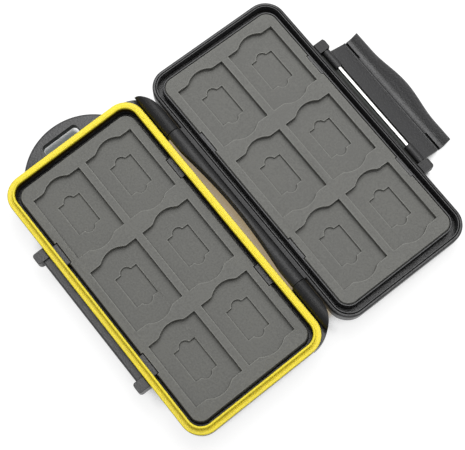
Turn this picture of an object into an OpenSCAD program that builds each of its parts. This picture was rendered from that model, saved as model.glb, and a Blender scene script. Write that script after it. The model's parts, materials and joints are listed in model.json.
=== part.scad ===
// Rigid memory card case, modelled open: the base lies on its flat face and the lid, folded past
// flat, rests on its far lower edge. +X runs from the catch to the hinge, +Y to the lanyard loop.
// The origin is the middle of the base's flat underside.

/* [Cards] */
// Width of a full-size card
card_w = 24; // [22:0.1:26]
// Length of a full-size card
card_l = 32; // [30:0.1:36]
// Thickness of a full-size card
card_t = 2.1; // [1.6:0.1:2.6]
// Clearance of a full-size card in its pocket, each side
card_gap = 0.25; // [0.1:0.05:0.5]
// Width of a small card
chip_w = 11; // [10:0.1:12]
// Length of a small card
chip_l = 15; // [14:0.1:17]
// Depth of a small card's pocket
chip_t = 0.9; // [0.6:0.05:1.2]
// Clearance of a small card in its pocket, each side
chip_gap = 0.1; // [0.05:0.05:0.2]

/* [Finger hollows] */
// Reach of the hollow past a full-size pocket's end
card_bump = 2.5; // [1.5:0.1:3.2]
// Radius of that hollow
card_bump_r = 9.7; // [8:0.1:11]
// Blend radius from the pocket's end into that hollow
card_blend_r = 3; // [1.5:0.1:3.5]
// Reach of the hollow past a small pocket's end
chip_bump = 2; // [1.2:0.1:2.4]
// Radius of that hollow
chip_bump_r = 2.7; // [2.4:0.1:3.2]
// Blend radius from the small pocket's end into that hollow
chip_blend_r = 0.6; // [0.3:0.1:0.9]

/* [Tray] */
// Pockets across the tray
columns = 2; // [1:1:3]
// Pockets along the tray
rows = 3; // [2:1:4]
// Land between pockets, across
land_x = 3.65; // [3:0.05:6]
// Land between pockets, along
land_y = 8.25; // [7:0.05:11]
// Land from the outer pockets to the tray's long sides
edge_x = 4.48; // [4:0.01:6]
// Land from the outer pockets to the tray's ends
edge_y = 7.3; // [6:0.05:10]
// Thickness of the tray
tray_t = 6; // [5:0.1:7]
// Corner radius of the tray
tray_r = 5.4; // [4.5:0.1:6.5]
// Width of the bevel round the tray's upper edge
tray_bevel_w = 0.5; // [0.3:0.05:0.7]
// Height of that bevel
tray_bevel_h = 1; // [0.5:0.1:1.5]
// Length of each retaining notch in the tray's sides
notch_l = 11; // [8:0.5:14]
// Depth of each retaining notch into the tray
notch_in = 1.2; // [0.9:0.05:1.5]
// Distance of the notches from the middle of the tray
notch_y = 30.5; // [24:0.5:36]

/* [Shells] */
// Height of the parting plane above the rest face
base_h = 17.2; // [16.4:0.1:19]
// Depth of the lid from the parting plane to its outer face
lid_h = 11.2; // [10.6:0.1:12.4]
// Width of the base's rim, outer face to tray recess
rim_w = 3.65; // [3.4:0.05:3.8]
// Gap between the base's recess and the tray's long sides
tray_gap_x = 1.3; // [1.1:0.05:1.5]
// Gap between the base's recess and the tray's ends
tray_gap_y = 1.8; // [1.5:0.05:2]
// Height of the seat round the tray's foot in the base
seat_h = 1.5; // [0.8:0.1:2.5]
// Clearance of the tray's foot in that seat
seat_gap = 0.15; // [0.05:0.05:0.3]
// Gap between the lid's recess and the tray's long sides
lid_gap_x = 0.1; // [0.05:0.05:0.15]
// Gap between the lid's recess and the tray's ends
lid_gap_y = 0.1; // [0.05:0.05:0.15]
// Wall between the lid's channel and its tray
lid_inner_wall = 0.55; // [0.5:0.05:0.6]
// Corner radius of both shells
corner_r = 9.8; // [9.2:0.1:11]
// Fillet round the base's lower edge
base_edge_r = 7; // [5.8:0.1:7.6]
// Fillet round the lid's outer edge
lid_edge_r = 5; // [3:0.1:6]
// Draft of the walls, degrees
draft = 3; // [1:0.25:3.5]
// Thickness of both floors
floor_t = 2.4; // [1.8:0.1:3]
// Ledge that carries the tray
ledge_w = 1.1; // [0.8:0.1:1.6]
// Thickness of the ribs under the tray
rib_t = 1.6; // [1:0.1:2.4]
// Depth of the base's tray face below the parting plane
base_tray_drop = 1.6; // [1.2:0.1:2.2]
// Height of the lid's tray face above its rim
lid_tray_rise = 0.35; // [0:0.05:0.6]
// Gap between the two closed rims
rim_gap = 0.2; // [0.1:0.05:0.4]
// Thickness of the retaining tabs
tab_t = 1.2; // [0.8:0.1:1.5]
// Depth of the tabs below the tray's face
tab_drop = 0.5; // [0.3:0.1:0.9]
// Clearance of the tabs in their notches
tab_gap = 0.25; // [0.1:0.05:0.35]

/* [Seal] */
// Thickness of the seal's flange
seal_t = 2; // [1.4:0.1:2.6]
// Overhang of the seal past the base's wall
seal_proud = 0.3; // [0.1:0.05:0.5]
// Setback of the seal's outer face from the lid's wall line
seal_inset = 0.1; // [0:0.05:0.3]
// Outer edge of the seal's groove, from the wall line
groove_in = 1.5; // [1.4:0.05:1.55]
// Outer side of the bead, from the wall line
bead_out = 2.35; // [2.3:0.05:2.45]
// Inner side of the bead, from the wall line
bead_in = 3.65; // [3.55:0.05:3.8]
// Height of the bead above the parting plane
bead_h = 1.8; // [1.4:0.05:2.4]
// Depth of the seal's groove
groove_d = 0.3; // [0.25:0.05:0.6]
// Middle of the seal's root, from the wall line
root_in = 2; // [1.9:0.05:2.2]
// Width of the seal's root
root_w = 0.9; // [0.6:0.05:1.2]
// Depth of the seal's root below its flange
root_d = 2.6; // [1.5:0.1:3.5]
// Clearance round the seal's root
root_gap = 0.05; // [0.02:0.01:0.1]

/* [Lid rim] */
// Width of the rim's outer band
band_w = 1.3; // [1.15:0.05:1.35]
// Radius of the rim's outer edge
rim_edge_r = 0.8; // [0.5:0.1:1]
// Depth of the fine groove inside the band
fine_d = 0.6; // [0.4:0.1:1.2]
// Outer side of the sealing ridge, from the wall line
ridge_out = 1.7; // [1.65:0.05:1.75]
// Width of the sealing ridge
ridge_w = 0.45; // [0.35:0.05:0.45]
// Height of the ridge above the rim
ridge_h = 0.2; // [0.1:0.05:0.3]
// Depth of the channel that takes the bead
channel_d = 5; // [2.9:0.1:5.2]

/* [Hinge] */
// Distance of the hinge axis from each wall
axis_out = 3.95; // [3.8:0.05:4.6]
// Outer radius of the knuckles
knuckle_r = 3.1; // [2.7:0.05:3.2]
// Step of the base knuckles' inner half
knuckle_step = 0.35; // [0.15:0.05:0.4]
// Half length of the lid's middle knuckle
knuckle_half = 42.95; // [36:0.05:46]
// End gap between knuckles
knuckle_gap = 0.2; // [0.15:0.05:0.4]
// Diameter of the hinge pins
hinge_pin_d = 2.2; // [1.8:0.1:2.6]
// Reach of each hinge pin into the middle knuckle
hinge_pin_in = 9.5; // [6:0.5:12]
// Reach of each hinge pin into its outer knuckle
hinge_pin_out = 17; // [12:0.5:18]
// Radial running clearance on pins
pin_gap = 0.08; // [0.05:0.01:0.1]
// Height of the webs under the knuckles
web_h = 8; // [6:0.5:9]
// Depth of the groove between the middle knuckle and the lid's rim
hinge_groove_d = 1.6; // [0.8:0.1:2]
// Distance from the hinge axis to the rim's edge beside that groove
hinge_groove_out = 3.4; // [3.3:0.05:3.8]
// Radius of the scallop in the middle knuckle
scallop_r = 208; // [200:1:240]
// Wall left between the hinge axis and the scallop's deepest point
scallop_keep = 0.1; // [0.05:0.05:0.4]
// Radius of the corner wings
wing_r = 15.6; // [14:0.1:16.5]
// Setback of the wings from the end walls
wing_set = 0.35; // [0.3:0.05:0.8]
// Drop of the wings' top below the parting plane
wing_drop = 2.4; // [2.2:0.1:3]

/* [Latch] */
// Distance of the latch pin from the lid's wall
pin_out = 3.1; // [2.9:0.05:3.6]
// Depth of the latch pin below the parting plane
pin_depth = 2.5; // [2.2:0.05:2.8]
// Diameter of the latch pin
latch_pin_d = 1.9; // [1.6:0.1:2.1]
// Radius of the latch barrels
barrel_r = 1.95; // [1.8:0.05:2]
// Length of each latch barrel
barrel_l = 9.5; // [7:0.5:12]
// Width of the latch plate
latch_w = 65; // [58:0.5:66]
// Gap between the latch barrels and the lugs
barrel_gap = 0.2; // [0.15:0.05:0.4]
// Width of the latch lugs
lug_w = 5; // [4:0.1:6]
// Reach of the lugs out of the wall
lug_out = 6; // [5.6:0.1:6.6]
// Depth of the lugs
lug_h = 5; // [4.8:0.1:6]
// Depth of the lugs' root inside the wall
lug_root = 2; // [1.5:0.1:2.2]
// Reach of the lugs' sloped underside out of the wall
lug_heel = 1.5; // [1:0.1:2]
// Chamfer of the lugs' ends, seen from the side
lug_cut = 1; // [0.6:0.1:1.4]
// Chamfer of the lugs' ends, seen from above
lug_side_cut = 0.8; // [0.4:0.1:1.2]
// Wall at the blind end of each lug's bore
lug_end_wall = 0.8; // [0.6:0.1:1.2]
// Gap between the closed latch and the catch rail
latch_gap = 0.12; // [0.1:0.02:0.2]
// Radius of the hook rib
hook_r = 0.45; // [0.35:0.05:0.5]
// Radius of the inside of the belly
belly_r = 3.8; // [3.4:0.1:4]
// Turn of the belly, degrees
belly_turn = 60; // [56:1:62]
// Length of the lip past the belly
lip_l = 3.4; // [2.4:0.1:3.5]
// Thickness of the lip's edge
lip_t = 0.8; // [0.6:0.05:0.9]
// Reach of the finger tab past the lip
tab_out = 2.1; // [1.2:0.1:2.2]
// Half width of the finger tab
tab_half = 22; // [14:0.5:26]
// Turn of the belly at which the tab lengthens it, degrees
tab_turn = 50; // [44:1:54]
// Width of the slits at the latch's ends
slit_w = 0.8; // [0.5:0.1:1]
// Length of the slits
slit_l = 9.5; // [6:0.5:12]

/* [Catch] */
// Reach of the catch rail out of the wall
catch_out = 3.4; // [3.2:0.05:3.7]
// Top of the catch rail below the parting plane
catch_top = 2.9; // [2.6:0.1:4]
// Hooked edge of the catch rail below the parting plane
catch_low = 9; // [8.4:0.1:9.4]
// Width of each catch post
post_w = 5.2; // [4:0.1:6.5]
// Reach of the posts out of the wall
post_out = 5.6; // [5:0.1:6]
// Top of the posts below the parting plane
post_top = 1.9; // [1.5:0.1:2.6]
// Depth of the posts' root inside the wall
post_root = 2; // [1.5:0.1:2.2]
// Corner radius of the posts
post_r = 1.3; // [0.8:0.1:1.8]
// Side gap between the latch and the posts
post_gap = 0.3; // [0.2:0.05:0.6]

/* [Lanyard loop] */
// Reach of the loop past the end wall
loop_out = 10.9; // [9.5:0.1:13]
// Radius of the loop's outline
loop_r = 29.6; // [26:0.1:34]
// Thickness of the loop
loop_t = 4.1; // [3:0.1:5]
// Height of the loop's lower face above the rest face
loop_z = 7.6; // [7.2:0.1:9]
// Radius of the loop's rounded edge
loop_edge_r = 1.2; // [0.6:0.1:1.4]
// Length of the slot
slot_l = 18.4; // [14:0.1:22]
// Reach of the slot past the end wall
slot_out = 5.95; // [5:0.05:7]
// Corner radius of the slot
slot_r = 2; // [1:0.1:2.5]

/* [Hidden] */
$fn = 64;

// Depth past a surface that a cut runs, and overlap of joined solids
over = 1;
shell_colour = "#3a3b3d";
tray_colour = "#6b6b66";
seal_colour = "#f2d92e";
steel_colour = "#d8d8d4";

// Pockets and tray
pocket_w = card_w + 2 * card_gap;
pocket_l = card_l + 2 * card_gap;
pocket_d = card_t + 0.1;
small_w = chip_w + 2 * chip_gap;
small_l = chip_l + 2 * chip_gap;
pitch_x = pocket_w + land_x;
pitch_y = pocket_l + land_y;
tray_w = columns * pitch_x - land_x + 2 * edge_x;
tray_l = rows * pitch_y - land_y + 2 * edge_y;
notch_d = tab_drop + tab_t + tab_gap;

// Both shells share one outline at the rim
shell_w = tray_w + 2 * (rim_w + tray_gap_x);
shell_l = tray_l + 2 * (rim_w + tray_gap_y);
recess_w = shell_w - 2 * rim_w;
recess_l = shell_l - 2 * rim_w;
lid_recess_w = tray_w + 2 * lid_gap_x;
lid_recess_l = tray_l + 2 * lid_gap_y;
lid_recess_r = tray_r + lid_gap_y;
channel_out = ridge_out + ridge_w;
well_w = tray_w - 2 * ledge_w;
well_l = tray_l - 2 * ledge_w;
well_r = tray_r - ledge_w;
recess_r = corner_r - rim_w;
slope = tan(draft);

// Hinge axis, and the droop that rests the lid's far lower edge on the table
hinge_x = shell_w / 2 + axis_out;
hinge_z = base_h;
seal_top = hinge_z - rim_gap / 2;
base_rim_z = seal_top - seal_t;
lid_rim_z = -rim_gap / 2;
base_wall_w = shell_w - 2 * (seal_inset + seal_proud);
base_wall_l = shell_l - 2 * (seal_inset + seal_proud);
base_wall_r = corner_r - seal_inset - seal_proud;
lid_edge_in = edge_inset(lid_h - rim_gap / 2, lid_edge_r);
foot_x = axis_out + shell_w - lid_edge_in;
foot_z = lid_h - lid_edge_r;
droop = asin((hinge_z - lid_edge_r) / norm([foot_x, foot_z])) - atan(foot_z / foot_x);

// Tray faces
base_tray_z = hinge_z - base_tray_drop - tray_t;
lid_tray_z = lid_rim_z + lid_tray_rise - tray_t;
lid_floor_z = floor_t - lid_h;

// Latch pin in the lid's own frame, and the latch's section in its closed pose
far_x = axis_out + shell_w;
pin_x = far_x + pin_out;
pin_z = -pin_depth;
face_in = catch_out + latch_gap - pin_out;
plate_t = barrel_r - face_in;
hook_y = catch_low + 0.05 + hook_r + pin_depth;
belly_y = hook_y + 0.6;
belly_c = [face_in - belly_r, belly_y];
lug_in = latch_w / 2 + 0.5 + barrel_gap;
lug_mid = lug_in + lug_w / 2;
barrel_mid = lug_in - barrel_gap - barrel_l / 2;
latch_pin_half = lug_in + lug_w - lug_end_wall;
post_in = latch_w / 2 + post_gap;
post_mid = post_in + post_w / 2;

// The latch opens until its belly is just clear of the table
table_gap = 0.25;
pin_world_z = hinge_z - pin_x * sin(droop) + pin_z * cos(droop);
belly_polar = atan2(belly_c[1], belly_c[0]);
belly_fall = asin((pin_world_z - belly_r - plate_t - table_gap) / norm(belly_c));
latch_swing = belly_polar + belly_fall - droop;

// Hinge pins: from inside the middle knuckle to inside the outer one
pin_start = knuckle_half - hinge_pin_in;
pin_end = knuckle_half + knuckle_gap + hinge_pin_out;

echo(droop = droop, latch_swing = latch_swing, hinge_x = hinge_x, shell_w = shell_w, shell_l = shell_l,
     latch_pin_world = [hinge_x + pin_x * cos(droop) + pin_z * sin(droop), pin_world_z]);

// Inset of the edge fillet's centre from the rim's outer face, for a drafted wall of height h
function edge_inset(h, r) = (h - r) * slope + r / cos(draft);

// Rounded rectangle of true arcs, centred
module round_rect(w, l, r) {
    square([w - 2 * r, l], center = true);
    square([w, l - 2 * r], center = true);
    for (x = [-1, 1], y = [-1, 1])
        translate([x * (w / 2 - r), y * (l / 2 - r)]) circle(r);
}

// Plate with the outline of a rounded rectangle
module plate(w, l, r, h) {
    linear_extrude(h) round_rect(w, l, r);
}

// Section carried round a rounded rectangle: x = 0 is the outline and negative x lies inside it
module carry_round(w, l, r) {
    reach = 2 * base_h;
    for (k = [0:3])
        translate([(k == 0 || k == 3 ? 1 : -1) * (w / 2 - r), (k < 2 ? 1 : -1) * (l / 2 - r), 0])
            rotate([0, 0, 90 * k]) rotate_extrude(angle = 90) intersection() {
                translate([r, 0]) children();
                translate([0, -reach]) square([r + over, 2 * reach]);
            }
    for (s = [0, 1]) {
        rotate([0, 0, 180 * s]) translate([w / 2, 0, 0]) rotate([90, 0, 0])
            linear_extrude(l - 2 * r, center = true) children();
        rotate([0, 0, 90 + 180 * s]) translate([l / 2, 0, 0]) rotate([90, 0, 0])
            linear_extrude(w - 2 * r, center = true) children();
    }
}

// Section that a rounded outer edge of radius r leaves to cut, below a top at z = 0
module edge_cut(r) {
    translate([-r, -r]) difference() {
        square([r + over / 2, r + over / 2]);
        circle(r);
    }
}

// Rectangular section between two insets and two heights
module band(from, to, low, high) {
    translate([-to, low]) square([to - from, high - low]);
}

// Solid pan with drafted walls and a filleted lower edge; its outline is given at the rim
module pan(w, l, r, h, edge_r) {
    c = edge_inset(h, edge_r);
    carry_round(w, l, r) {
        polygon([[0, h], [-c + edge_r * cos(draft), edge_r - edge_r * sin(draft)], [-c, 0], [-r, 0], [-r, h]]);
        intersection() {
            translate([-c, edge_r]) circle(edge_r);
            translate([-c, 0]) square([edge_r, edge_r]);
        }
    }
    translate([r - w / 2, r - l / 2, 0]) cube([w - 2 * r, l - 2 * r, h]);
}

// Section extruded along Y between two places: x stays x and y becomes z
module run_y(from, to) {
    translate([0, to, 0]) rotate([90, 0, 0]) linear_extrude(to - from) children();
}

// Moves a piece from the lid's own frame, hinge axis at its origin, to the open pose
module in_lid() {
    translate([hinge_x, 0, hinge_z]) rotate([0, droop, 0]) children();
}

// Moves a piece from the latch's closed frame to the open pose
module in_latch() {
    in_lid() translate([pin_x, 0, pin_z]) rotate([0, latch_swing, 0]) children();
}

// Pocket outline: a rectangle with a blended finger hollow at each end
module pocket(w, l, reach, bump_r, blend_r) {
    drop = bump_r - reach;
    side = sqrt(pow(bump_r + blend_r, 2) - pow(blend_r + drop, 2));
    touch = bump_r / (bump_r + blend_r);
    square([w, l], center = true);
    for (s = [0, 1]) rotate(180 * s) translate([0, l / 2]) {
        intersection() {
            translate([0, -drop]) circle(bump_r);
            translate([-bump_r, -over]) square([2 * bump_r, reach + 2 * over]);
        }
        difference() {
            polygon([[-side, -over], [side, -over], [side, 0],
                     [side * touch, (blend_r + drop) * touch - drop],
                     [-side * touch, (blend_r + drop) * touch - drop], [-side, 0]]);
            for (x = [-1, 1]) translate([x * side, blend_r]) circle(blend_r);
        }
    }
}

// Tray with its pockets and side notches, lower face at z = 0
module tray() {
    difference() {
        plate(tray_w, tray_l, tray_r, tray_t);
        translate([0, 0, tray_t]) carry_round(tray_w, tray_l, tray_r)
            polygon([[-tray_bevel_w, 0], [0, -tray_bevel_h], [over, -tray_bevel_h], [over, over], [-tray_bevel_w, over]]);
        for (i = [0:columns - 1], j = [0:rows - 1])
            translate([(i - (columns - 1) / 2) * pitch_x, (j - (rows - 1) / 2) * pitch_y, 0]) {
                translate([0, 0, tray_t - pocket_d]) linear_extrude(pocket_d + over)
                    pocket(pocket_w, pocket_l, card_bump, card_bump_r, card_blend_r);
                translate([0, 0, tray_t - pocket_d - chip_t]) linear_extrude(chip_t + over)
                    pocket(small_w, small_l, chip_bump, chip_bump_r, chip_blend_r);
            }
        for (x = [-1, 1], y = [-1, 1])
            translate([x * (tray_w / 2 - notch_in / 2 + over / 2), y * notch_y, tray_t - notch_d / 2 + over / 2])
                cube([notch_in + over, notch_l, notch_d + over], center = true);
    }
}

// Retaining tabs over the tray's notches, for a recess of width w and a tray whose face is at z
module tabs(w, z) {
    reach = w / 2 - tray_w / 2 + notch_in - tab_gap;
    for (x = [-1, 1], y = [-1, 1])
        translate([x * (w / 2 - reach / 2 + over / 4), y * notch_y, z - tab_drop - tab_t / 2])
            cube([reach + over / 2, notch_l - 2 * tab_gap, tab_t], center = true);
}

// Ribs that carry the tray between its pockets
module ribs(from, to) {
    for (i = [1:max(columns - 1, 1)])
        translate([(i - columns / 2) * pitch_x * (columns > 1 ? 1 : 0) - rib_t / 2, -well_l / 2 - over / 2, from])
            cube([rib_t, well_l + over, to - from]);
    for (j = [1:rows - 1])
        translate([-well_w / 2 - over / 2, (j - rows / 2) * pitch_y - rib_t / 2, from])
            cube([well_w + over, rib_t, to - from]);
}

// One of the base's outer knuckles with its corner wing, at the +Y end
module base_knuckle() {
    start = knuckle_half + knuckle_gap;
    end = shell_l / 2;
    arc_x = hinge_x + knuckle_r - wing_r;
    arc_y = end - wing_set - wing_r;
    intersection() {
        run_y(start, end) {
            translate([hinge_x, hinge_z]) circle(knuckle_r);
            intersection() {
                translate([hinge_x, hinge_z]) circle(knuckle_r + knuckle_step);
                translate([hinge_x - knuckle_r - over, hinge_z - web_h]) square([knuckle_r + 0.05, 2 * web_h]);
            }
            polygon([[arc_x, hinge_z - wing_drop], [hinge_x, hinge_z - wing_drop],
                     [hinge_x, hinge_z - knuckle_r], [shell_w / 2 - 0.5, hinge_z - web_h], [arc_x, hinge_z - web_h]]);
        }
        translate([0, 0, hinge_z - 2 * web_h]) linear_extrude(3 * web_h) {
            translate([arc_x, arc_y]) circle(wing_r);
            translate([arc_x, start - over]) square([wing_r, arc_y - start + over]);
        }
    }
}

// Catch rail and its two posts on the base's -X wall
module catch_rail() {
    wall_x = -shell_w / 2;
    run_y(-post_in - over, post_in + over)
        translate([wall_x, hinge_z]) polygon([
            [1.5, -catch_top], [0.5 - catch_out, -catch_top], [-catch_out, -catch_top - 0.5],
            [-catch_out, 0.3 - catch_low], [0.3 - catch_out, -catch_low], [-1.2, -catch_low],
            [1.5, -catch_low - 2.7]]);
    for (s = [-1, 1])
        intersection() {
            run_y(s * post_mid - post_w / 2, s * post_mid + post_w / 2)
                translate([wall_x, hinge_z]) polygon([
                    [post_root, base_rim_z - hinge_z], [0, base_rim_z - hinge_z], [0, -post_top],
                    [-post_out, -post_top], [-post_out, 1.5 - catch_low],
                    [1.5 - post_out, -catch_low], [-1.2, -catch_low], [post_root, -catch_low - post_root - 1.2]]);
            translate([wall_x - post_out / 2 + post_root, s * post_mid, 0]) linear_extrude(hinge_z)
                round_rect(post_out + 2 * post_root, post_w, post_r);
        }
}

// Lanyard loop on the +Y end wall
module lanyard_loop() {
    end = shell_l / 2;
    translate([0, 0, loop_z]) difference() {
        intersection() {
            translate([0, end + loop_out - loop_r, 0]) rotate_extrude() {
                square([loop_r - loop_edge_r, loop_t]);
                translate([0, loop_edge_r]) square([loop_r, loop_t - 2 * loop_edge_r]);
                for (z = [loop_edge_r, loop_t - loop_edge_r])
                    translate([loop_r - loop_edge_r, z]) circle(loop_edge_r);
            }
            translate([-loop_r, end - rim_w + over, -over]) cube([2 * loop_r, loop_out + rim_w, loop_t + 2 * over]);
        }
        translate([0, end - 0.2, -over]) linear_extrude(loop_t + 2 * over) {
            translate([0, (slot_out + 0.2) / 2]) round_rect(slot_l, slot_out + 0.2, slot_r);
            translate([-slot_l / 2, 0]) square([slot_l, slot_r]);
        }
    }
}

// Lower shell
module base_shell() {
    color(shell_colour) {
        difference() {
            union() {
                pan(base_wall_w, base_wall_l, base_wall_r, base_rim_z, base_edge_r);
                base_knuckle();
                mirror([0, 1, 0]) base_knuckle();
                catch_rail();
                lanyard_loop();
            }
            translate([0, 0, base_tray_z + seat_h]) plate(recess_w, recess_l, recess_r, base_h);
            translate([0, 0, base_tray_z])
                plate(tray_w + 2 * seat_gap, tray_l + 2 * seat_gap, tray_r + seat_gap, base_h);
            translate([0, 0, floor_t]) plate(well_w, well_l, well_r, base_h);
            carry_round(shell_w, shell_l, corner_r)
                band(root_in - root_w / 2 - root_gap, root_in + root_w / 2 + root_gap,
                     base_rim_z - root_d - 2 * root_gap, base_rim_z + over);
            for (s = [0, 1]) mirror([0, s, 0])
                run_y(knuckle_half, shell_l / 2 + over) translate([hinge_x, hinge_z]) circle(d = hinge_pin_d);
        }
        tabs(recess_w, base_tray_z + tray_t);
        ribs(floor_t - over, base_tray_z);
    }
}

// Elastomer seal on the base's rim
module seal() {
    lean = 0.1;
    dome_r = (bead_in - bead_out - lean) / 2;
    color(seal_colour) carry_round(shell_w, shell_l, corner_r) translate([0, hinge_z]) {
        difference() {
            band(seal_inset, bead_in, base_rim_z - hinge_z, seal_top - hinge_z);
            polygon([[-groove_in, over], [-groove_in, seal_top - hinge_z], [-groove_in - 0.2, seal_top - hinge_z - groove_d],
                     [-bead_out, seal_top - hinge_z - groove_d], [-bead_out, over]]);
            translate([-seal_inset, seal_top - hinge_z]) edge_cut(0.4);
        }
        polygon([[-bead_out, seal_top - hinge_z - groove_d], [-bead_out - lean, bead_h - dome_r],
                 [-bead_in, bead_h - dome_r], [-bead_in, seal_top - hinge_z - groove_d]]);
        intersection() {
            translate([-bead_out - lean - dome_r, bead_h - dome_r]) circle(dome_r);
            band(bead_out, bead_in, 0, bead_h);
        }
        band(root_in - root_w / 2, root_in + root_w / 2, base_rim_z - hinge_z - root_d, base_rim_z - hinge_z + over / 4);
    }
}

// Tray in the base
module base_insert() {
    color(tray_colour) translate([0, 0, base_tray_z]) tray();
}

// Hinge pin of the +Y knuckle
module hinge_pin() {
    color(steel_colour) run_y(pin_start, pin_end) translate([hinge_x, hinge_z]) circle(d = hinge_pin_d);
}

module hinge_pin_loop_end() { hinge_pin(); }
module hinge_pin_plain_end() { mirror([0, 1, 0]) hinge_pin(); }

// Middle knuckle of the lid, in the lid's own frame
module lid_knuckle() {
    difference() {
        run_y(-knuckle_half, knuckle_half) {
            circle(knuckle_r);
            polygon([[0, -hinge_groove_d], [0, -knuckle_r], [axis_out + 0.7, -web_h], [axis_out + 2, -web_h],
                     [axis_out + 2, -hinge_groove_d]]);
            translate([hinge_groove_out, -hinge_groove_d - 0.5])
                square([axis_out + 1 - hinge_groove_out, hinge_groove_d + 0.5 + lid_rim_z]);
        }
        translate([-scallop_keep - scallop_r, 0, -2 * web_h]) cylinder(r = scallop_r, h = 4 * web_h, $fn = 720);
        for (s = [0, 1]) mirror([0, s, 0])
            run_y(pin_start - 0.5, knuckle_half + over) circle(d = hinge_pin_d + 2 * pin_gap);
    }
}

// Latch lugs on the lid's far wall, in the lid's own frame
module lid_lugs() {
    for (s = [-1, 1])
        difference() {
            intersection() {
                run_y(s * lug_mid - lug_w / 2, s * lug_mid + lug_w / 2)
                    translate([far_x, lid_rim_z - 0.05]) polygon([
                        [-lug_root, -rim_edge_r], [0, -rim_edge_r], [0, 0], [lug_out - lug_cut, 0],
                        [lug_out, -lug_cut], [lug_out, lug_cut - lug_h], [lug_out - lug_cut, -lug_h],
                        [lug_heel, -lug_h], [-lug_root, -lug_h - lug_root - lug_heel]]);
                translate([far_x, s * lug_mid, -lid_h]) linear_extrude(2 * lid_h) polygon([
                    [-lug_root, -lug_w / 2], [lug_out - lug_side_cut, -lug_w / 2],
                    [lug_out, lug_side_cut - lug_w / 2], [lug_out, lug_w / 2 - lug_side_cut],
                    [lug_out - lug_side_cut, lug_w / 2], [-lug_root, lug_w / 2]]);
            }
            run_y(s > 0 ? lug_in - over : -latch_pin_half, s > 0 ? latch_pin_half : over - lug_in)
                translate([pin_x, pin_z]) circle(d = latch_pin_d);
        }
}

// Channel in the lid's rim that takes the bead
module lid_channel() {
    wall = lid_inner_wall;
    translate([0, 0, lid_rim_z - channel_d]) linear_extrude(channel_d + over) difference() {
        round_rect(shell_w - 2 * channel_out, shell_l - 2 * channel_out, corner_r - channel_out);
        round_rect(lid_recess_w + 2 * wall, lid_recess_l + 2 * wall, lid_recess_r + wall);
    }
}

// Upper shell
module lid_shell() {
    mid_x = axis_out + shell_w / 2;
    color(shell_colour) in_lid() {
        difference() {
            union() {
                translate([mid_x, 0, 0]) difference() {
                    translate([0, 0, -lid_h]) pan(shell_w, shell_l, corner_r, lid_h + lid_rim_z, lid_edge_r);
                    translate([0, 0, lid_rim_z]) carry_round(shell_w, shell_l, corner_r) edge_cut(rim_edge_r);
                }
                lid_knuckle();
                translate([mid_x, 0, 0]) carry_round(shell_w, shell_l, corner_r)
                    band(ridge_out, channel_out, lid_rim_z - over, lid_rim_z + ridge_h);
            }
            translate([mid_x, 0, lid_tray_z]) plate(lid_recess_w, lid_recess_l, lid_recess_r, lid_h);
            translate([mid_x, 0, lid_floor_z]) plate(well_w, well_l, well_r, lid_h);
            translate([mid_x, 0, 0]) lid_channel();
            translate([mid_x, 0, 0]) carry_round(shell_w, shell_l, corner_r)
                band(band_w, ridge_out, lid_rim_z - fine_d, over);
        }
        lid_lugs();
        translate([mid_x, 0, 0]) {
            tabs(lid_recess_w, lid_tray_z + tray_t);
            ribs(lid_floor_z - over, lid_tray_z);
        }
    }
}

// Tray in the lid
module lid_insert() {
    color(tray_colour) in_lid() translate([axis_out + shell_w / 2, 0, lid_tray_z]) tray();
}

// Steel pin across the lugs
module latch_pin() {
    color(steel_colour) in_lid() run_y(-latch_pin_half, latch_pin_half)
        translate([pin_x, pin_z]) circle(d = latch_pin_d);
}

// Lengthening of the latch at a place along its width: full in the middle, none past the tab
function tab_reach(y) = abs(y) >= tab_half ? 0 : tab_out * (1 + cos(180 * y / tab_half)) / 2;

// Point of the belly's arc, moved on past the tab's turn by a lengthening e
function belly_point(r, a, e) =
    belly_c + r * [cos(a), sin(a)] + (a > tab_turn ? e : 0) * [-sin(tab_turn), cos(tab_turn)];

// Closed section of the lip for a lengthening e: from within the belly round the edge and back
function lip_section(e) =
    let (steps = 3,
         first = tab_turn + 2,
         turns = [for (k = [0:steps]) first + (belly_turn - first) * k / steps],
         along = [-sin(belly_turn), cos(belly_turn)],
         across = [cos(belly_turn), sin(belly_turn)],
         tip = belly_point(belly_r, belly_turn, e) + (lip_l - lip_t / 2) * along + lip_t / 2 * across)
    concat([belly_point(belly_r + 0.2, tab_turn - 5, e)],
           [for (a = turns) belly_point(belly_r, a, e)],
           [for (k = [0:4]) tip + lip_t / 2 * (-cos(45 * k) * across + sin(45 * k) * along)],
           [for (k = [steps:-1:0]) belly_point(belly_r + plate_t, turns[k], e)],
           [belly_point(belly_r + plate_t - 0.2, tab_turn - 5, e)]);

// Lip and finger tab: the lip's section carried along the latch
module latch_lip() {
    cuts = 24;
    half = latch_w / 2 - 0.05;
    places = concat([-half], [for (k = [0:cuts]) tab_half * (2 * k / cuts - 1)], [half]);
    rings = [for (y = places) [for (p = lip_section(tab_reach(y))) [p[0], y, p[1]]]];
    n = len(rings[0]);
    m = len(rings);
    polyhedron(
        points = [for (r = rings, p = r) p],
        faces = concat(
            [[for (i = [0:n - 1]) i]],
            [[for (i = [n - 1:-1:0]) (m - 1) * n + i]],
            [for (j = [0:m - 2], i = [0:n - 1], t = [0, 1])
                let (a = j * n + i, b = j * n + (i + 1) % n)
                t == 0 ? [a, a + n, b] : [b, a + n, b + n]]));
}

// Section of the belly, from the plate round to where the tab begins
module belly_section() {
    far = 2 * (belly_r + plate_t);
    translate(belly_c) intersection() {
        difference() {
            circle(belly_r + plate_t);
            circle(belly_r);
        }
        polygon([[0, 0], [far, 0], [far, far * tan(tab_turn)]]);
    }
}

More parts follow.
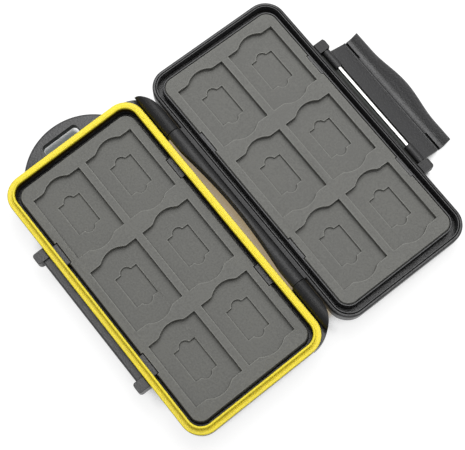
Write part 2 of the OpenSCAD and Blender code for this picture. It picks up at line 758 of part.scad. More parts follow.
// Latch, drawn in its closed frame with the pin's axis at the origin
module latch() {
    color(shell_colour) in_latch() difference() {
        union() {
            run_y(-latch_w / 2, latch_w / 2) {
                translate([face_in, barrel_r + 0.65]) square([plate_t, belly_y - barrel_r - 0.65]);
                belly_section();
            }
            for (s = [-1, 1]) run_y(s * barrel_mid - barrel_l / 2, s * barrel_mid + barrel_l / 2) {
                circle(barrel_r);
                translate([face_in, 0]) square([plate_t, barrel_r + over]);
            }
            run_y(-latch_w / 2, latch_w / 2) translate([face_in, hook_y]) circle(hook_r);
            latch_lip();
        }
        run_y(-latch_w, latch_w) circle(d = latch_pin_d + 2 * pin_gap);
        for (s = [-1, 1])
            translate([face_in - 1.5 * over, s * (latch_w / 2 - slit_l / 2 + over / 2) - slit_l / 2 - over / 2, belly_y + 0.3])
                cube([plate_t + 3 * over, slit_l + over, slit_w]);
    }
}

base_shell();
seal();
base_insert();
hinge_pin_loop_end();
hinge_pin_plain_end();
lid_shell();
lid_insert();
latch_pin();
latch();
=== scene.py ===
"""Rigid memory card case, open past flat on a pale table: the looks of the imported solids.

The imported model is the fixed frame. Its sharp-edged solids are given moulded edge radii and
their finishes here. Everything is in metres: +X runs from the catch over the hinge to the open
lid, +Y to the lanyard loop, +Z up, and the origin is the middle of the base's underside.
"""

import json
import logging
import math
from dataclasses import dataclass
from enum import Enum
from typing import Mapping, Optional, Protocol, Sequence, Union

import bmesh
import bpy
import numpy as np
from mathutils import Matrix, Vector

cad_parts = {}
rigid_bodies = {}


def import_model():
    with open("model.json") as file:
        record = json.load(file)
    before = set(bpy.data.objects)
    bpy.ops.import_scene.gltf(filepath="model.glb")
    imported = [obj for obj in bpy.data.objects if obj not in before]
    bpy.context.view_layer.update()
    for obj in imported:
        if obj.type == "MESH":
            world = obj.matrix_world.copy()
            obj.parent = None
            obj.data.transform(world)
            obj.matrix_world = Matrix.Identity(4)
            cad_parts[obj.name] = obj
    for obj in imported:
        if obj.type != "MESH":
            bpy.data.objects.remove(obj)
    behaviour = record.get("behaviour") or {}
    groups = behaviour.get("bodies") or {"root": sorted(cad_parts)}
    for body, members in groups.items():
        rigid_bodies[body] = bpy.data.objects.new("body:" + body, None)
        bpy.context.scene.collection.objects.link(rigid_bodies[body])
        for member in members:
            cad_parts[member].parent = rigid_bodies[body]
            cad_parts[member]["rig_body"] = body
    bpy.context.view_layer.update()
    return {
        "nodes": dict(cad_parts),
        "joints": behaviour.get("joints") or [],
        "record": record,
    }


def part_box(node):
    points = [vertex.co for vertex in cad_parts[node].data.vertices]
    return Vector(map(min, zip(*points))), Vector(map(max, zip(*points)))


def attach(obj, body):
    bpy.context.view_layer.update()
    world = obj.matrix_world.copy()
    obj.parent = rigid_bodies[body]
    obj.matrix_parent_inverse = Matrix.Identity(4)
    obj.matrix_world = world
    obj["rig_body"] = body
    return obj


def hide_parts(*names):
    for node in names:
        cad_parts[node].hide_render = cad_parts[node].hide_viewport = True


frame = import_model()

log = logging.getLogger("card_case")
logging.basicConfig(level=logging.INFO, format="%(name)s: %(message)s")

MM = 0.001
Colour = tuple[float, float, float]
Input = Union["Sock", float, Sequence[float]]


class Sum(Enum):
    """Arithmetic that the finishes use, by the Math node's names."""

    ADD = "ADD"
    SUBTRACT = "SUBTRACT"
    MULTIPLY = "MULTIPLY"
    LARGER = "MAXIMUM"
    SIZE = "ABSOLUTE"


class Ray(Enum):
    """Kinds of ray that are shown the white backdrop, by the Light Path node's outputs."""

    SEEN = "Is Camera Ray"
    MIRRORED = "Is Glossy Ray"
    CLEAR = "Is Transmission Ray"


class Sock:
    """An output socket with arithmetic: an expression adds its Math nodes to the tree."""

    def __init__(self, tree: "Tree", socket: bpy.types.NodeSocket) -> None:
        """Wraps a socket of a tree."""
        self.tree = tree
        self.socket = socket

    def _math(self, operation: Sum, first: Input, second: Input = 0.0) -> "Sock":
        """Adds one Math node.

        Args:
            operation: what it works out.
            first: its first value or link.
            second: its second value or link.

        Returns:
            The node's output.
        """
        return self.tree.node("ShaderNodeMath", {"operation": operation.value}, {0: first, 1: second})

    def __add__(self, other: Input) -> "Sock":
        """Sum."""
        return self._math(Sum.ADD, self, other)

    __radd__ = __add__

    def __sub__(self, other: Input) -> "Sock":
        """Difference."""
        return self._math(Sum.SUBTRACT, self, other)

    def __rsub__(self, other: Input) -> "Sock":
        """Reflected difference, so that 1 - mask works."""
        return self._math(Sum.SUBTRACT, other, self)

    def __mul__(self, other: Input) -> "Sock":
        """Product."""
        return self._math(Sum.MULTIPLY, self, other)

    __rmul__ = __mul__

    def __abs__(self) -> "Sock":
        """Size without its sign."""
        return self._math(Sum.SIZE, self)

    def larger(self, other: Input) -> "Sock":
        """The larger of two values."""
        return self._math(Sum.LARGER, self, other)


class Tree:
    """A node tree under construction, of a material or of the world."""

    def __init__(self, tree: bpy.types.NodeTree) -> None:
        """Takes over a tree and empties it."""
        self.tree = tree
        self.tree.nodes.clear()

    def node(self, kind: str, settings: Mapping[str, object], inputs: Mapping[Union[str, int], Input],
             output: Union[str, int] = 0) -> Sock:
        """Adds any node.

        Args:
            kind: the node's type name.
            settings: attributes of the node, set before its sockets.
            inputs: socket name or number to a value or a link.
            output: which output to hand back.

        Returns:
            The chosen output.
        """
        made = self.tree.nodes.new(kind)
        for key, value in settings.items():
            setattr(made, key, value)
        for key, value in inputs.items():
            self.feed(made.inputs[key], value)
        return Sock(self, made.outputs[output])

    def feed(self, socket: bpy.types.NodeSocket, value: Input) -> None:
        """Links an output to a socket, or sets the socket's value."""
        if isinstance(value, Sock):
            self.tree.links.new(value.socket, socket)
        else:
            socket.default_value = value

    def rays(self, *kinds: Ray) -> Sock:
        """Mask of the rays of some kinds.

        Args:
            kinds: which rays count.

        Returns:
            1 for a ray of one of the kinds, and 0 for any other.
        """
        path = self.node("ShaderNodeLightPath", {}, {}, kinds[0].value)
        for kind in kinds[1:]:
            path = path + self.node("ShaderNodeLightPath", {}, {}, kind.value)
        return self.node("ShaderNodeClamp", {}, {"Value": path})


class Sheet(Tree):
    """A material under construction: its tree, its principled shader and its inputs."""

    def __init__(self, name: str) -> None:
        """Makes an empty node material with a principled shader."""
        self.material = bpy.data.materials.new(name)
        self.material.use_nodes = True
        super().__init__(self.material.node_tree)
        self.output = self.tree.nodes.new("ShaderNodeOutputMaterial")
        self.shader = self.tree.nodes.new("ShaderNodeBsdfPrincipled")
        self.tree.links.new(self.shader.outputs["BSDF"], self.output.inputs["Surface"])
        self.place = self.node("ShaderNodeTexCoord", {}, {}, "Object")

    def set(self, **inputs: Input) -> None:
        """Sets sockets of the principled shader; an underscore in a name stands for a space."""
        for key, value in inputs.items():
            self.feed(self.shader.inputs[key.replace("_", " ")], value)

    def noise(self, size: float, detail: float = 2.0, stretch: Optional[Sequence[float]] = None,
              roughness: float = 0.5) -> Sock:
        """Noise with features about size metres across, from 0 to 1.

        Args:
            size: feature size in metres.
            detail: octaves.
            stretch: factors that lengthen the features along X, Y and Z.
            roughness: weight of the finer octaves.

        Returns:
            The noise's factor.
        """
        vector: Sock = self.place
        if stretch is not None:
            vector = self.node("ShaderNodeMapping", {}, {"Vector": self.place,
                               "Scale": [1.0 / s for s in stretch]})
        return self.node("ShaderNodeTexNoise", {}, {"Vector": vector, "Scale": 1.0 / size,
                         "Detail": detail, "Roughness": roughness}, "Fac")

    def along(self, way: Sequence[float]) -> Sock:
        """Distance in metres of each point along a direction, from the origin."""
        return self.node("ShaderNodeVectorMath", {"operation": "DOT_PRODUCT"},
                         {0: self.place, 1: way}, "Value")

    def span(self, value: Sock, low: float, high: float, to_low: float = 0.0, to_high: float = 1.0) -> Sock:
        """Maps low..high to to_low..to_high, clamped and smoothed at its ends."""
        ends = {"From Min": low, "From Max": high, "To Min": to_low, "To Max": to_high}
        return self.node("ShaderNodeMapRange", {"interpolation_type": "SMOOTHSTEP"}, {"Value": value, **ends})

    def mix(self, amount: Input, low: Input, high: Input) -> Sock:
        """Mixes two colours, or links that carry them, by an amount."""
        first, second = (end if isinstance(end, Sock) else (*end, 1.0) for end in (low, high))
        return self.node("ShaderNodeMix", {"data_type": "RGBA"}, {"Factor": amount, 6: first, 7: second}, 2)

    def nooks(self, reach: float, inside: bool = False, alone: bool = True) -> Sock:
        """How open the surface is within a distance, or how thick the solid under it.

        Args:
            reach: the distance in metres.
            inside: looks into the solid, which finds its outer edges.
            alone: counts the object itself and nothing round it.

        Returns:
            1 on an open face, falling towards 0 in a corner, or on an edge where it looks inside.
        """
        return self.node("ShaderNodeAmbientOcclusion", {"only_local": alone, "inside": inside, "samples": 8},
                         {"Distance": reach}, "AO")

    def coat_with_shade(self, mask: Sock, colour: Colour) -> None:
        """Covers the surface with a dark matt coat of painted shade where a mask is 1."""
        shade_coat = self.node("ShaderNodeBsdfPrincipled", {}, {"Base Color": (*colour, 1.0), "Roughness": 1.0,
                         "Specular IOR Level": 0.0})
        clean = Sock(self, self.shader.outputs["BSDF"])
        both = self.node("ShaderNodeMixShader", {}, {0: mask, 1: clean, 2: shade_coat})
        self.feed(self.output.inputs["Surface"], both)

    def bump(self, height: Sock, depth: float, strength: float = 1.0) -> Sock:
        """Bump normal from a height of 0 to 1 that stands for depth metres."""
        return self.node("ShaderNodeBump", {}, {"Height": height, "Distance": depth, "Strength": strength})


class Finish(Protocol):
    """Anything that can make a material under a name."""

    def make(self, name: str) -> bpy.types.Material:
        """Builds the material under a name."""
        ...


def lighter(colour: Colour, factor: float) -> Colour:
    """Colour scaled by a factor and kept within 0..1."""
    return tuple(min(1.0, c * factor) for c in colour)


@dataclass(frozen=True)
class MouldedShell:
    """Satin moulded plastic: fine spark-eroded texture, faint flow marks and worn patches,
    with painted shade in the corners and on the hinge barrels.

    Attributes:
        colour: base colour.
        gloss_from: roughness of the worn patches.
        gloss_to: roughness elsewhere.
        corner: reach of the painted shade in the corners in metres; the share after it is that shade's colour
            as a share.
        grain: size of the texture's grain in metres.
        depth: its depth in metres.
        barrels: joints whose barrels get painted shade, a dark matt coat; the share after them says how much.
        barrel_radius: radius round their axes that the painted shade covers, in metres.
        flow: size of the flow marks in metres.
        patch: size of the rubbed patches in metres.
        index: refractive index.
    """

    colour: Colour = (0.022, 0.022, 0.023)
    gloss_from: float = 0.32
    gloss_to: float = 0.38
    corner: float = 0.0022
    painted_shade: float = 0.15
    grain: float = 0.0008
    depth: float = 0.00022
    barrels: tuple[str, ...] = ()
    barrel_shade: float = 0.6
    barrel_radius: float = 0.0047
    flow: float = 0.030
    patch: float = 0.006
    index: float = 1.47

    def _barrel(self, s: Sheet, joint: str) -> Sock:
        """Mask of the painted shade on the barrel round a joint's axis, which runs along Y."""
        x, _, z = next(j["pos_m"] for j in frame["joints"] if j["name"] == joint)
        across = s.along((1.0, 0.0, 0.0)) - x
        up = s.along((0.0, 0.0, 1.0)) - z
        squared = across * across + up * up
        return s.span(squared, self.barrel_radius ** 2, (1.15 * self.barrel_radius) ** 2, self.barrel_shade, 0.0)

    def make(self, name: str) -> bpy.types.Material:
        """Builds the material under a name."""
        s = Sheet(name)
        flow = s.noise(self.flow, 3.0)
        wear_and_highlight = s.noise(self.patch, 4.0)
        grain = s.noise(self.grain, 2.0)
        tone = s.span(flow * 0.3 + wear_and_highlight * 0.2 + grain * 0.5, 0.35, 0.65)
        # Painted shade: a darker matt coat in the corners, where ambient occlusion finds them.
        painted_shade = s.span(s.nooks(self.corner), 0.3, 0.85, 1.0, 0.0)
        # The barrels round the hinge axes get painted shade too.
        for joint in self.barrels:
            painted_shade = painted_shade.larger(self._barrel(s, joint))
        s.coat_with_shade(painted_shade, lighter(self.colour, self.painted_shade))
        s.set(Base_Color=s.mix(tone, lighter(self.colour, 0.86), lighter(self.colour, 1.14)),
              Roughness=s.span(wear_and_highlight, 0.35, 0.7, self.gloss_to, self.gloss_from),
              Normal=s.bump(grain, self.depth, 0.9), IOR=self.index)
        return s.material


@dataclass(frozen=True)
class SoftTray:
    """Soft matt rubber: fine tooth, faint cloudiness, sunk floors darker than the face as painted shade,
    painted shade in the corners and painted highlights on the lips.

    Attributes:
        face: direction that the tray's open face looks in.
        level: distance of that face from the origin along it, in metres.
        colour: base colour of the face.
        sunk: the floors' colour as a share of the face's, a painted shade in the pockets.
        corner: reach of the painted shade in the corners in metres; the share after it is that shade's colour
            as a share.
        lip: reach of the painted highlights on the lips in metres; the share after it is their colour as a
            share.
        step: how far below the face a floor counts as sunk, in metres.
        rough: roughness.
        grain: size of the tooth in metres.
        depth: its depth in metres.
        cloud: size of the cloudiness in metres.
        index: refractive index.
    """

    face: tuple[float, float, float]
    level: float
    colour: Colour = (0.134, 0.134, 0.124)
    sunk: float = 0.92
    corner: float = 0.0009
    painted_shade: float = 0.30
    lip: float = 0.0007
    wear_and_highlight: float = 1.9
    step: float = 0.0010
    rough: float = 0.66
    grain: float = 0.0009
    depth: float = 0.00022
    cloud: float = 0.018
    index: float = 1.45

    def make(self, name: str) -> bpy.types.Material:
        """Builds the material under a name."""
        s = Sheet(name)
        cloud = s.noise(self.cloud, 3.0)
        tooth = s.noise(self.grain, 3.0)
        # Painted shade: the sunk floors are darker than the face.
        floor = s.span(s.along(self.face), self.level - self.step, self.level - 0.3 * self.step, 1.0, 0.0)
        worked = s.span(cloud * 0.5 + tooth * 0.5, 0.38, 0.62)
        face = s.mix(worked, lighter(self.colour, 0.88), lighter(self.colour, 1.12))
        low = s.mix(worked, lighter(self.colour, 0.88 * self.sunk), lighter(self.colour, 1.12 * self.sunk))
        tone = s.mix(floor, face, low)
        # Painted shade darkens the corners, where ambient occlusion finds them.
        tone = s.mix(s.span(s.nooks(self.corner), 0.35, 0.95), lighter(self.colour, self.painted_shade), tone)
        # Painted highlight lightens the lips, the trays' outer edges.
        tone = s.mix(s.span(s.nooks(self.lip, True), 0.55, 0.95), lighter(self.colour, self.wear_and_highlight), tone)
        s.set(Base_Color=tone, Roughness=s.span(cloud, 0.3, 0.7, self.rough - 0.05, self.rough + 0.05),
              Normal=s.bump(tooth, self.depth, 0.8), IOR=self.index)
        return s.material


@dataclass(frozen=True)
class Elastomer:
    """Coloured silicone: smooth and slightly glossy, with painted shade low on its inner side.

    Attributes:
        colour: base colour.
        rough: roughness.
        inner_shade: colour of the painted shade low on the inner side, which the attribute inner_side places.
        cloud: size of the cloudiness in metres.
        ripple: size of the faint ripple in metres, and ripple_depth its depth.
        index: refractive index.
    """

    colour: Colour = (0.91, 0.75, 0.032)
    rough: float = 0.40
    inner_shade: Colour = (0.055, 0.034, 0.006)
    cloud: float = 0.012
    ripple: float = 0.0030
    ripple_depth: float = 0.00001
    index: float = 1.42

    def make(self, name: str) -> bpy.types.Material:
        """Builds the material under a name."""
        s = Sheet(name)
        cloud = s.noise(self.cloud, 2.0)
        tone = s.span(cloud, 0.3, 0.7)
        s.set(Base_Color=s.mix(tone, lighter(self.colour, 0.97), lighter(self.colour, 1.03)),
              Roughness=s.span(cloud, 0.3, 0.7, self.rough - 0.04, self.rough + 0.06),
              Normal=s.bump(s.noise(self.ripple, 2.0), self.ripple_depth, 0.2), IOR=self.index)
        low = s.node("ShaderNodeAttribute", {"attribute_name": "inner_side"}, {}, "Fac")
        # Painted shade, low on the inner side that the attribute inner_side marks.
        s.coat_with_shade(s.span(low, 0.02, 0.35), self.inner_shade)
        return s.material


@dataclass(frozen=True)
class DrawnSteel:
    """Drawn and polished steel: faint marks along the pin and a clean bright tone.

    Attributes:
        colour: base colour.
        rough: roughness.
        mark: width of the drawing marks in metres, and mark_depth their depth.
        drawn: how many times longer than wide they are.
    """

    colour: Colour = (0.93, 0.93, 0.90)
    rough: float = 0.16
    mark: float = 0.0004
    mark_depth: float = 0.000002
    drawn: float = 12.0

    def make(self, name: str) -> bpy.types.Material:
        """Builds the material under a name."""
        s = Sheet(name)
        marks = s.noise(self.mark, 3.0, stretch=(1.0, self.drawn, 1.0))
        s.set(Base_Color=s.mix(marks, lighter(self.colour, 0.97), lighter(self.colour, 1.02)),
              Roughness=s.span(marks, 0.3, 0.7, self.rough - 0.04, self.rough + 0.06),
              Normal=s.bump(marks, self.mark_depth, 0.4), Metallic=1.0)
        return s.material


@dataclass(frozen=True)
class SoftBox:
    """A square soft box that faces the case.

    Attributes:
        name: its name.
        way: direction from the case to it.
        away: its distance in metres.
        size: its side in metres.
        power: its power in watts.
    """

    name: str
    way: tuple[float, float, float]
    away: float
    size: float
    power: float

    def build(self, scene: bpy.types.Scene, aim: Sequence[float]) -> None:
        """Hangs the box where it looks at a point."""
        way = np.array(self.way) / np.linalg.norm(self.way)
        at = np.array(aim) + way * self.away
        data = bpy.data.lights.new(self.name, "AREA")
        data.shape = "SQUARE"
        data.size = self.size
        data.energy = self.power
        lamp = bpy.data.objects.new(self.name, data)
        side = np.cross((0.0, 1.0, 0.0), way)
        side /= np.linalg.norm(side)
        turn = Matrix(np.column_stack([side, np.cross(way, side), way]).tolist()).to_4x4()
        lamp.matrix_world = Matrix.Translation(at.tolist()) @ turn
        scene.collection.objects.link(lamp)


@dataclass(frozen=True)
class Glimpse:
    """A rectangle of the table whose deep shade shows through the case.

    Attributes:
        low: its lower X and Y in metres.
        high: its higher X and Y.
        shade: the table's colour in the deepest shade there.
        deeper: what the case hides there beyond its walls, as a share of the open view.
    """

    low: tuple[float, float]
    high: tuple[float, float]
    shade: Colour
    deeper: float

    def beyond(self, s: Sheet) -> Sock:
        """Distance outside the rectangle, negative inside: the larger of those along X and Y."""
        middle = [(a + b) / 2.0 for a, b in zip(self.low, self.high)]
        reach = [(b - a) / 2.0 for a, b in zip(self.low, self.high)]
        across = abs(s.along((1.0, 0.0, 0.0)) - middle[0]) - reach[0]
        return across.larger(abs(s.along((0.0, 1.0, 0.0)) - middle[1]) - reach[1])


@dataclass
class Studio:
    """Pale table, soft light and the camera of the photograph.

    Attributes:
        camera_at: camera position.
        camera_turn: rows of its rotation.
        lens: focal length in mm for a 36 mm frame.
        aim: what the soft boxes point at.
        boxes: the soft boxes.
        sky: strength of the even light all round.
        table: the table's colour, a grey.
        whiter: what brings the table up to white for the camera, mirrors and glass.
        reach: how far above the table what hangs there still shades it, in metres.
        shaded: openness of a point in full shade, and of one without any.
        soft: half the width of the change from one shade to the next.
        gap_shade: the table's colour in the gap beside the middle knuckle.
        pin_shade: its colour beside the latch pin.
        slot_shade: its colour in the shade elsewhere, as in the lanyard slot.
        past_slot: how far past the slot the camera sees the table through it, in metres.
    """

    camera_at: tuple[float, float, float] = (-0.052307, -0.133140, 0.600049)
    camera_turn: tuple[tuple[float, float, float], ...] = (
        (0.782655, 0.605792, -0.143062), (-0.622124, 0.753791, -0.211568), (-0.020328, 0.254587, 0.966836))
    lens: float = 109.032
    aim: tuple[float, float, float] = (0.045, 0.0, 0.01)
    boxes: tuple["SoftBox", ...] = (
        SoftBox("key", way=(0.42, 0.30, 0.86), away=0.85, size=0.80, power=5.0),
        SoftBox("overhead", way=(0.10, 0.18, 1.00), away=1.00, size=1.20, power=6.0))
    sky: float = 0.12
    table: float = 0.32
    whiter: float = 0.82
    reach: float = 0.015
    shaded: tuple[float, float] = (0.28, 0.50)
    soft: float = 0.0020
    gap_shade: Colour = (0.33, 0.25, 0.14)
    pin_shade: Colour = (0.010, 0.009, 0.005)
    slot_shade: Colour = (0.12, 0.13, 0.13)
    past_slot: float = 3.5 * MM

    def build(self) -> None:
        """Makes camera, world, soft boxes and table."""
        scene = bpy.context.scene
        scene.view_settings.view_transform = "Standard"
        self._camera(scene)
        self._world(scene)
        for box in self.boxes:
            box.build(scene, self.aim)
        self._floor(scene)

    def _camera(self, scene: bpy.types.Scene) -> None:
        """Puts the camera at the photograph's place."""
        data = bpy.data.cameras.new("camera")
        data.lens = self.lens
        data.sensor_width = 36.0
        data.clip_start, data.clip_end = 0.01, 20.0
        camera = bpy.data.objects.new("camera", data)
        turn = Matrix(self.camera_turn).to_4x4()
        camera.matrix_world = Matrix.Translation(self.camera_at) @ turn
        scene.collection.objects.link(camera)
        scene.camera = camera

    def _world(self, scene: bpy.types.Scene) -> None:
        """Even light all round; the camera, mirrors and glass are shown plain white."""
        world = bpy.data.worlds.new("world")
        world.use_nodes = True
        tree = Tree(world.node_tree)
        white = tree.rays(*Ray)
        strength = white * (1.0 - self.sky) + self.sky
        light = tree.node("ShaderNodeBackground", {}, {"Color": (1.0, 1.0, 1.0, 1.0), "Strength": strength})
        tree.feed(tree.tree.nodes.new("ShaderNodeOutputWorld").inputs["Surface"], light)
        scene.world = world

    def _floor(self, scene: bpy.types.Scene) -> None:
        """White table that keeps the case's shadow, with full shade close under the case."""
        half = 3.0
        mesh = bpy.data.meshes.new("floor")
        under = -0.02 * MM
        corners = [(-half, -half, under), (half, -half, under), (half, half, under), (-half, half, under)]
        mesh.from_pydata(corners, [], [(0, 1, 2, 3)])
        floor = bpy.data.objects.new("floor", mesh)
        s = Sheet("white_table")
        shade: Union[Sock, Colour] = self.slot_shade
        open_view = s.nooks(self.reach, alone=False)
        for glimpse in self._glimpses():
            outside = s.span(glimpse.beyond(s), -self.soft, self.soft)
            shade = s.mix(outside, glimpse.shade, shade)
            open_view = open_view - (1.0 - outside) * glimpse.deeper
        clear = s.span(open_view, *self.shaded)
        s.set(Base_Color=s.mix(clear, shade, (self.table,) * 3), Roughness=0.9, Specular_IOR_Level=0.0,
              Emission_Color=s.mix(clear, shade, (1.0, 1.0, 1.0)),
              Emission_Strength=s.rays(*Ray) * self.whiter)
        mesh.materials.append(s.material)
        scene.collection.objects.link(floor)

    def _glimpses(self) -> tuple[Glimpse, ...]:
        """The places where the table's shade shows through the case.

        Returns:
            The gap beside the middle knuckle, the one beside the latch pin, and the lanyard slot.
        """
        slot = next(o["box_m"] for o in frame["record"]["physics"]["openings"] if o["name"] == "lanyard_slot")
        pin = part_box("latch_pin")
        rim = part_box("lid_insert")
        gap_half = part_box("hinge_pin_loop_end")[1].y
        gap = Glimpse((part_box("seal")[1].x, -gap_half), (rim[0].x, gap_half), self.gap_shade, deeper=0.12)
        beside_pin = Glimpse((rim[1].x, pin[0].y), (pin[1].x, pin[1].y), self.pin_shade, deeper=0.30)
        loop = Glimpse((slot[0][0], slot[0][1]), (slot[1][0], slot[1][1] + self.past_slot),
                       self.slot_shade, deeper=0.42)
        return gap, beside_pin, loop


@dataclass
class Moulding:
    """A CAD solid with its finish and the small radii that its edges have when moulded.

    Attributes:
        node: the CAD node that it stands for.
        finish: its finish.
        edge: radius of its edges in metres; none keeps the CAD solid itself.
        steps: segments of each rounded edge.
        turn: edges that turn by less than this, in degrees, count as smooth.
        flat: faces that turn by less than this, in degrees, lie in one plane.
        same: points closer than this, in metres, are one.
    """

    node: str
    finish: Finish
    edge: float = 0.0
    steps: int = 2
    turn: float = 28.0
    flat: float = 0.2
    same: float = 0.002 * MM

    def build(self) -> bpy.types.Object:
        """Dresses the node, or puts its rounded copy in its place.

        Returns:
            The piece that shows.
        """
        node = frame["nodes"][self.node]
        material = self.finish.make(self.node + "_finish")
        if self.edge <= 0.0:
            if not node.material_slots:
                node.data.materials.append(material)
            for held in node.material_slots:
                held.material = material
            return node
        piece = bpy.data.objects.new(self.node + "_moulded", self._clean(node.data))
        piece.data.materials.clear()
        piece.data.materials.append(material)
        bpy.context.scene.collection.objects.link(piece)
        self._round(piece)
        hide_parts(self.node)
        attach(piece, node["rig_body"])
        log.info("%s: %d vertices before rounding", self.node, len(piece.data.vertices))
        return piece

    def _clean(self, source: bpy.types.Mesh) -> bpy.types.Mesh:
        """Copies a mesh of loose triangles as joined faces without splits inside their planes."""
        mesh = source.copy()
        form = bmesh.new()
        form.from_mesh(mesh)
        bmesh.ops.remove_doubles(form, verts=form.verts[:], dist=self.same)
        bmesh.ops.dissolve_limit(form, angle_limit=math.radians(self.flat), verts=form.verts[:],
                                 edges=form.edges[:])
        for edge in form.edges:
            edge.smooth = edge.calc_face_angle(0.0) < math.radians(self.turn)
        for face in form.faces:
            face.smooth = True
        form.to_mesh(mesh)
        form.free()
        return mesh

    def _round(self, piece: bpy.types.Object) -> None:
        """Rounds every edge that turns by more than the limit."""
        bevel = piece.modifiers.new("edges", "BEVEL")
        bevel.width = self.edge
        bevel.segments = self.steps
        bevel.limit_method = "ANGLE"
        bevel.angle_limit = math.radians(self.turn)
        bevel.use_clamp_overlap = False
        bevel.harden_normals = True
        bevel.miter_outer = "MITER_ARC"


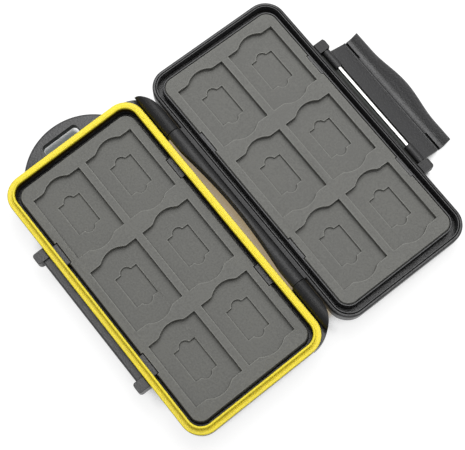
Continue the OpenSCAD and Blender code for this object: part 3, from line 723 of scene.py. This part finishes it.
@dataclass
class SealRing:
    """The seal as one soft profile carried round the rounded rectangle of the base's rim.

    With u the distance inward from the flange's outer side, h the height over its top face and a the
    heading round the ring, a point is C(a) + (corner - u) (cos a, sin a) in plan, at the height
    top + h, where C(a) is the middle of the corner that a belongs to.

    Attributes:
        node: the CAD node that it stands for.
        finish: its finish.
        steps: segments of each corner and of the bead's crown.
        top: height of the flange's top face in metres, and under its thickness.
        corner: radius of the ring's outer corners.
        edge: radius of the flange's outer edge.
        groove: where the groove beside the bead starts and ends, inward from the outer side.
        dip: the groove's depth, and swept how much of a full dip it makes before the bead.
        bead: where the bead starts and ends.
        dome: radius of the bead's crown.
        root: where the root under the flange starts and ends.
        turn: edges that turn by more than this, in degrees, stay sharp.
    """

    node: str
    finish: Finish
    steps: int = 16
    top: float = 17.1 * MM
    under: float = 2.0 * MM
    corner: float = 9.7 * MM
    edge: float = 0.4 * MM
    groove: tuple[float, float] = (1.3 * MM, 2.25 * MM)
    dip: float = 0.12 * MM
    swept: float = 0.85
    bead: tuple[float, float] = (2.25 * MM, 3.55 * MM)
    dome: float = 0.6 * MM
    root: tuple[float, float] = (1.45 * MM, 2.35 * MM)
    turn: float = 35.0

    def profile(self, low: float, high: float) -> np.ndarray:
        """Closed profile, up the outer side, over the bead and back underneath.

        Args:
            low: height of the root's foot in metres.
            high: height of the bead's crown.

        Returns:
            Rows of distance inward, height, and share of the way down the inner side.
        """
        crown, foot = high - self.top, low - self.top
        rising = np.linspace(math.pi, math.pi / 2.0, 7)
        outer = np.column_stack([1.0 + np.cos(rising), np.sin(rising) - 1.0, 0.0 * rising]) * self.edge
        way = np.linspace(0.0, 1.0, 13)
        across = self.groove[0] + way * (self.groove[1] - self.groove[0])
        groove = np.column_stack([across, -self.dip * np.sin(self.swept * math.pi * way) ** 2, 0.0 * way])
        over = np.linspace(math.pi, 0.0, self.steps + 1)
        ahead = (self.bead[0] + self.bead[1]) / 2.0 + self.dome * np.cos(over)
        bead = np.column_stack([ahead, crown + self.dome * (np.sin(over) - 1.0), 0.0 * over])
        below = np.array([(self.bead[1], -self.under, 1.0), (self.root[1], -self.under, 1.0),
                          (self.root[1], foot, 1.0), (self.root[0], foot, 0.0),
                          (self.root[0], -self.under, 0.0), (0.0, -self.under, 0.0)])
        return np.concatenate([outer, groove, bead, below])

    def _carried(self, profile: np.ndarray) -> np.ndarray:
        """Carries the profile round the ring.

        Args:
            profile: rows of distance inward, height, and share of the way down the inner side.

        Returns:
            Points by step round the ring, row of the profile, and X, Y and Z in metres.
        """
        low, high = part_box(self.node)
        corner = np.arange(4).repeat(self.steps + 1)
        heading = (corner + np.tile(np.linspace(0.0, 1.0, self.steps + 1), 4)) * math.pi / 2.0
        side = np.array([(1.0, 1.0), (-1.0, 1.0), (-1.0, -1.0), (1.0, -1.0)])[corner]
        middle = np.array([(low.x + high.x) / 2.0, (low.y + high.y) / 2.0])
        reach = np.array([(high.x - low.x) / 2.0, (high.y - low.y) / 2.0]) - self.corner
        centre = middle + side * reach
        way = np.stack([np.cos(heading), np.sin(heading)], 1)
        plan = centre[:, None, :] + (self.corner - profile[None, :, :1]) * way[:, None, :]
        height = np.broadcast_to(self.top + profile[None, :, 1:2], (*plan.shape[:2], 1))
        return np.concatenate([plan, height], 2)

    def build(self) -> bpy.types.Object:
        """Makes the ring and puts it in the node's place.

        Returns:
            The piece that shows.
        """
        low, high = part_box(self.node)
        profile = self.profile(low.z, high.z)
        points = self._carried(profile)
        index = np.arange(points[..., 0].size).reshape(points.shape[:2])
        ahead = np.roll(index, -1, 0)
        quads = np.stack([index, ahead, np.roll(ahead, -1, 1), np.roll(index, -1, 1)], 2)
        mesh = bpy.data.meshes.new(self.node + "_ring")
        mesh.from_pydata(points.reshape(-1, 3), [], quads.reshape(-1, 4).tolist())
        # The attribute inner_side places the painted shade low on the seal's inner side.
        inner = np.tile(profile[:, 2], len(points)).astype(np.float32)
        mesh.attributes.new("inner_side", "FLOAT", "POINT").data.foreach_set("value", inner)
        mesh.shade_smooth()
        mesh.set_sharp_from_angle(angle=math.radians(self.turn))
        mesh.materials.append(self.finish.make(self.node + "_finish"))
        piece = bpy.data.objects.new(self.node + "_moulded", mesh)
        bpy.context.scene.collection.objects.link(piece)
        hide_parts(self.node)
        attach(piece, frame["nodes"][self.node]["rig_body"])
        log.info("%s: %d vertices", self.node, len(mesh.vertices))
        return piece


def tray(node: str, joint: Optional[str] = None) -> SoftTray:
    """Finish of a tray, whose face looks up or is tilted with an open lid.

    Args:
        node: the tray's CAD node.
        joint: the hinge that the lid has opened past flat, if the tray lies in it.

    Returns:
        The finish, with the level of its face read from the node's mesh.
    """
    tilt = 0.0
    if joint is not None:
        found = next(j for j in frame["joints"] if j["name"] == joint)
        tilt = math.radians(found["range_deg"][1] - 180.0)
    face = (math.sin(tilt), 0.0, math.cos(tilt))
    mesh = frame["nodes"][node].data
    points = np.empty(3 * len(mesh.vertices))
    mesh.vertices.foreach_get("co", points)
    return SoftTray(face=face, level=float((points.reshape(-1, 3) @ np.array(face)).max()))


def main() -> None:
    """Builds the studio and every piece of the case."""
    Studio().build()
    # Each shell finish paints shade onto the barrels round its hinge axes.
    base_plastic = MouldedShell(barrels=("lid_hinge",))
    lid_plastic = MouldedShell(barrels=("lid_hinge", "latch_hinge"), barrel_shade=0.45)
    latch_plastic = MouldedShell(barrels=("latch_hinge",), barrel_shade=0.35, barrel_radius=2.1 * MM)
    pieces = [
        Moulding("base_shell", base_plastic, edge=0.25 * MM),
        Moulding("lid_shell", lid_plastic, edge=0.12 * MM),
        Moulding("latch", latch_plastic, edge=0.15 * MM),
        SealRing("seal", Elastomer()),
        Moulding("base_insert", tray("base_insert"), edge=0.2 * MM),
        Moulding("lid_insert", tray("lid_insert", "lid_hinge"), edge=0.2 * MM),
        Moulding("hinge_pin_loop_end", DrawnSteel()),
        Moulding("hinge_pin_plain_end", DrawnSteel()),
        Moulding("latch_pin", DrawnSteel()),
    ]
    for piece in pieces:
        piece.build()


if __name__ == "__main__":
    main()
